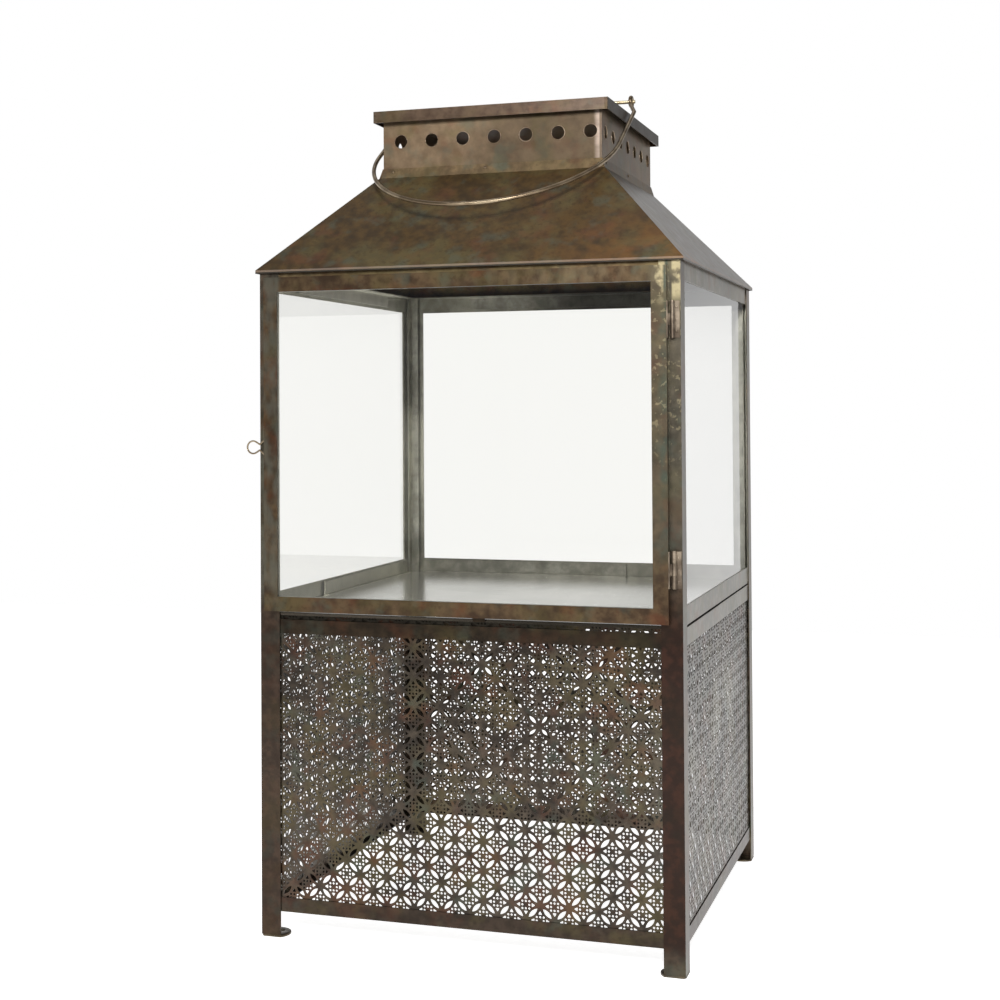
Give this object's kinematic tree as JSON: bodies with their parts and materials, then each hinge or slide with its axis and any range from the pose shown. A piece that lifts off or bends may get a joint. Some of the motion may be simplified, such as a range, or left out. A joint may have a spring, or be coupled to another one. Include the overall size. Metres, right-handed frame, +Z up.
{
  "type": "floor lantern",
  "caption": "Tall square sheet-metal floor lantern: perforated open base, glazed chamber with hinged front door, hipped roof, punched vent box and wire bail.",
  "frame": {"origin": "centre between the four feet, on the floor", "axes": "+X to the right as seen from the front, -Y out of the front door, +Z up"},
  "size_m": [0.5193, 0.5128, 1.0049],
  "materials": {
    "patina_iron": "brown bronze patina with rubbed edges, satin",
    "perforated_iron": "dark brown patina, satin",
    "roof_iron": "brown patina with olive and gold patches, satin",
    "inner_iron": "grey-green, dull",
    "bare_steel": "smooth light grey sheet",
    "wire": "darkened wire with bright highlights",
    "brass": "bright rod",
    "glass": "clear window glass"
  },
  "bodies": {
    "lantern": {"post_front_left": "patina_iron", "post_front_right": "patina_iron", "post_rear_left": "patina_iron", "post_rear_right": "patina_iron", "foot_plates": "patina_iron", "bottom_rail_front": "patina_iron", "bottom_rail_right": "patina_iron", "bottom_rail_rear": "patina_iron", "bottom_rail_left": "patina_iron", "grille_front": "perforated_iron", "grille_right": "perforated_iron", "grille_rear": "perforated_iron", "grille_left": "perforated_iron", "middle_rail_front": "patina_iron", "middle_rail_right": "patina_iron", "middle_rail_rear": "patina_iron", "middle_rail_left": "patina_iron", "shelf": "bare_steel", "sill_rail_right": "patina_iron", "sill_rail_rear": "patina_iron", "sill_rail_left": "patina_iron", "head_rail_front": "patina_iron", "head_rail_right": "patina_iron", "head_rail_rear": "patina_iron", "head_rail_left": "patina_iron", "pane_right": "glass", "pane_rear": "glass", "pane_left": "glass", "lower_glass_strips": "inner_iron", "upper_glass_strips": "inner_iron", "glass_corner_angles": "inner_iron", "roof": "roof_iron", "vent_wall_front": "roof_iron", "vent_wall_right": "roof_iron", "vent_wall_rear": "roof_iron", "vent_wall_left": "roof_iron", "vent_skirt": "roof_iron", "vent_cap": "roof_iron", "bail_pins": "brass", "hinge_post_leaves": "wire", "hinge_pins": "wire"},
    "door": {"door_frame": "patina_iron", "door_pane": "glass", "door_bead": "inner_iron", "door_pull": "wire", "door_tab": "inner_iron", "hinge_door_leaves": "wire"},
    "bail": {"bail": "wire"}
  },
  "joints": [
    {"name": "door_hinge", "type": "hinge", "parent": "lantern", "child": "door", "pos_m": [0.2415, -0.2533, 0.57], "axis": [0, 0, 1], "range_deg": [0, 115]},
    {"name": "bail_swing", "type": "hinge", "parent": "lantern", "child": "bail", "pos_m": [0, 0, 0.997], "axis": [-1, 0, 0], "range_deg": [0, 244]}
  ]
}
